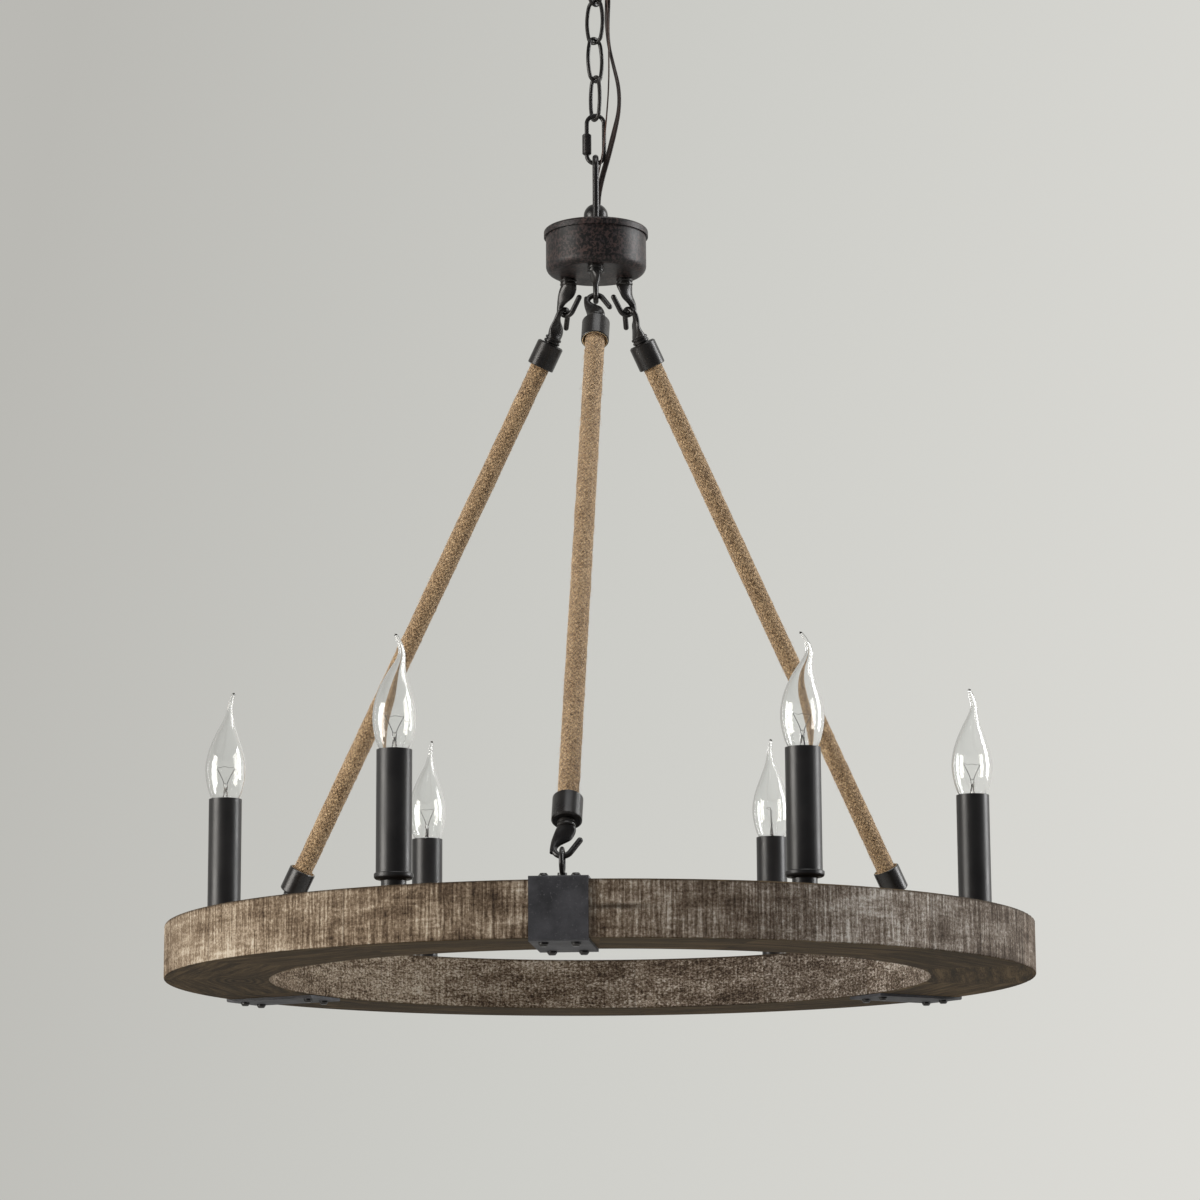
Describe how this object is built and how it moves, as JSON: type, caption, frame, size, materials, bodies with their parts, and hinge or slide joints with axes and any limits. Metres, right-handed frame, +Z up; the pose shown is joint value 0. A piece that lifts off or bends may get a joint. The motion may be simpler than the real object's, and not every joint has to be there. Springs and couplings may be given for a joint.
{
  "type": "wagon wheel chandelier",
  "caption": "Flat wooden wheel hung by ropes and cast hooks from a round hub on a chain, with candle sleeves and flame bulbs that lift out, steel straps with screw eyes, and a ceiling canopy.",
  "frame": {"origin": "centre of the two ceiling screws, on the face that lies on the ceiling", "axes": "+Z up into the ceiling, -Y towards the viewer of the picture, +X to the viewer's right"},
  "size_m": [0.6999, 0.703, 0.9514],
  "materials": {
    "flex_brown": "satin",
    "ground_copper": "satin",
    "clear_glass": "clear",
    "cap_brass": "plain",
    "weathered_wood": "weathered, saw marked",
    "jute_rope": "rough",
    "holder_plastic": "matte",
    "slate_strap": "matte, scratched",
    "rust_bronze": "satin, speckled",
    "zinc_steel": "zinc plated",
    "candle_black": "satin black",
    "cast_black": "satin black"
  },
  "bodies": {
    "ceiling_plate": {"ceiling_canopy": "rust_bronze", "mounting_strap": "zinc_steel", "mounting_screws": "zinc_steel", "canopy_nipple": "zinc_steel", "canopy_ring_nut": "cast_black", "canopy_loop": "cast_black", "supply_cord": "flex_brown", "ground_wire": "ground_copper"},
    "chain_link_1": {"chain_link_1": "cast_black"},
    "chain_link_2": {"chain_link_2": "cast_black"},
    "chain_link_3": {"chain_link_3": "cast_black"},
    "chain_link_4": {"chain_link_4": "cast_black"},
    "quick_link": {"quick_link": "cast_black"},
    "quick_link_nut": {"quick_link_nut": "cast_black"},
    "hub": {"hub_loop": "cast_black", "hub_lid": "rust_bronze", "hub_cup": "rust_bronze", "hub_hook_nuts": "zinc_steel", "hub_stem_nut": "zinc_steel", "hub_hook_front": "cast_black", "hub_hook_left": "cast_black", "hub_hook_right": "cast_black"},
    "wheel": {"wheel_ring": "weathered_wood", "bracket_front": "slate_strap", "bracket_left": "slate_strap", "bracket_right": "slate_strap", "bracket_screws": "cast_black", "eye_bolt_front": "cast_black", "eye_bolt_left": "cast_black", "eye_bolt_right": "cast_black", "candle_cups": "candle_black", "lamp_holders": "holder_plastic", "candle_sleeve_front_left": "candle_black", "candle_sleeve_left": "candle_black", "candle_sleeve_rear_left": "candle_black", "candle_sleeve_rear_right": "candle_black", "candle_sleeve_right": "candle_black", "candle_sleeve_front_right": "candle_black"},
    "rope_front": {"rope_front": "jute_rope", "rope_ferrules_front": "cast_black", "rope_hooks_front": "cast_black"},
    "rope_left": {"rope_left": "jute_rope", "rope_ferrules_left": "cast_black", "rope_hooks_left": "cast_black"},
    "rope_right": {"rope_right": "jute_rope", "rope_ferrules_right": "cast_black", "rope_hooks_right": "cast_black"},
    "bulb_front_left": {"bulb_cap_front_left": "cap_brass", "bulb_glass_front_left": "clear_glass"},
    "bulb_left": {"bulb_cap_left": "cap_brass", "bulb_glass_left": "clear_glass"},
    "bulb_rear_left": {"bulb_cap_rear_left": "cap_brass", "bulb_glass_rear_left": "clear_glass"},
    "bulb_rear_right": {"bulb_cap_rear_right": "cap_brass", "bulb_glass_rear_right": "clear_glass"},
    "bulb_right": {"bulb_cap_right": "cap_brass", "bulb_glass_right": "clear_glass"},
    "bulb_front_right": {"bulb_cap_front_right": "cap_brass", "bulb_glass_front_right": "clear_glass"}
  },
  "joints": [
    {"name": "chain_link_1_swing", "type": "hinge", "parent": "ceiling_plate", "child": "chain_link_1", "pos_m": [0, 0, -0.063], "axis": [0.342, -0.9397, 0], "range_deg": [-20, 20], "deforming": ["supply_cord", "ground_wire"]},
    {"name": "chain_link_2_swing", "type": "hinge", "parent": "chain_link_1", "child": "chain_link_2", "pos_m": [0, 0, -0.096], "axis": [0.6428, 0.766, 0], "range_deg": [-20, 20]},
    {"name": "chain_link_3_swing", "type": "hinge", "parent": "chain_link_2", "child": "chain_link_3", "pos_m": [0, 0, -0.13], "axis": [0.788, -0.6157, 0], "range_deg": [-20, 20]},
    {"name": "chain_link_4_swing", "type": "hinge", "parent": "chain_link_3", "child": "chain_link_4", "pos_m": [0, 0, -0.164], "axis": [0.6947, 0.7193, 0], "range_deg": [-20, 20]},
    {"name": "quick_link_swing", "type": "hinge", "parent": "chain_link_4", "child": "quick_link", "pos_m": [0, 0, -0.198], "axis": [0.454, -0.891, 0], "range_deg": [-20, 20]},
    {"name": "quick_link_nut_travel", "type": "slide", "parent": "quick_link", "child": "quick_link_nut", "axis": [0, 0, 1], "range_m": [0, 0.0085]},
    {"name": "hub_swing", "type": "hinge", "parent": "quick_link", "child": "hub", "pos_m": [0, 0, -0.23645], "axis": [1, 0, 0], "range_deg": [-15, 15]},
    {"name": "wheel_twist", "type": "hinge", "parent": "hub", "child": "wheel", "pos_m": [0, 0, -0.88165], "axis": [0, 0, 1], "range_deg": [-5, 5]},
    {"name": "rope_front_swing", "type": "hinge", "parent": "hub", "child": "rope_front", "pos_m": [-0.0006, -0.03195, -0.36363], "axis": [-0.0788, -0.8636, 0.4981], "range_deg": [-2.8, 2.8]},
    {"name": "rope_left_swing", "type": "hinge", "parent": "hub", "child": "rope_left", "pos_m": [-0.02754, 0.01622, -0.36363], "axis": [-0.7539, 0.4285, 0.498], "range_deg": [-2.8, 2.8]},
    {"name": "rope_right_swing", "type": "hinge", "parent": "hub", "child": "rope_right", "pos_m": [0.02774, 0.01587, -0.36363], "axis": [0.7271, 0.4726, 0.498], "range_deg": [-2.8, 2.8]},
    {"name": "bulb_front_left_removal", "type": "slide", "parent": "wheel", "child": "bulb_front_left", "axis": [0, 0, 1], "range_m": [0, 0.03]},
    {"name": "bulb_left_removal", "type": "slide", "parent": "wheel", "child": "bulb_left", "axis": [0, 0, 1], "range_m": [0, 0.03]},
    {"name": "bulb_rear_left_removal", "type": "slide", "parent": "wheel", "child": "bulb_rear_left", "axis": [0, 0, 1], "range_m": [0, 0.03]},
    {"name": "bulb_rear_right_removal", "type": "slide", "parent": "wheel", "child": "bulb_rear_right", "axis": [0, 0, 1], "range_m": [0, 0.03]},
    {"name": "bulb_right_removal", "type": "slide", "parent": "wheel", "child": "bulb_right", "axis": [0, 0, 1], "range_m": [0, 0.03]},
    {"name": "bulb_front_right_removal", "type": "slide", "parent": "wheel", "child": "bulb_front_right", "axis": [0, 0, 1], "range_m": [0, 0.03]}
  ],
  "couplings": [
    {"joint": "rope_front_swing", "follows": "wheel_twist", "ratio": 0.5536},
    {"joint": "rope_left_swing", "follows": "wheel_twist", "ratio": 0.5536},
    {"joint": "rope_right_swing", "follows": "wheel_twist", "ratio": 0.5536}
  ]
}
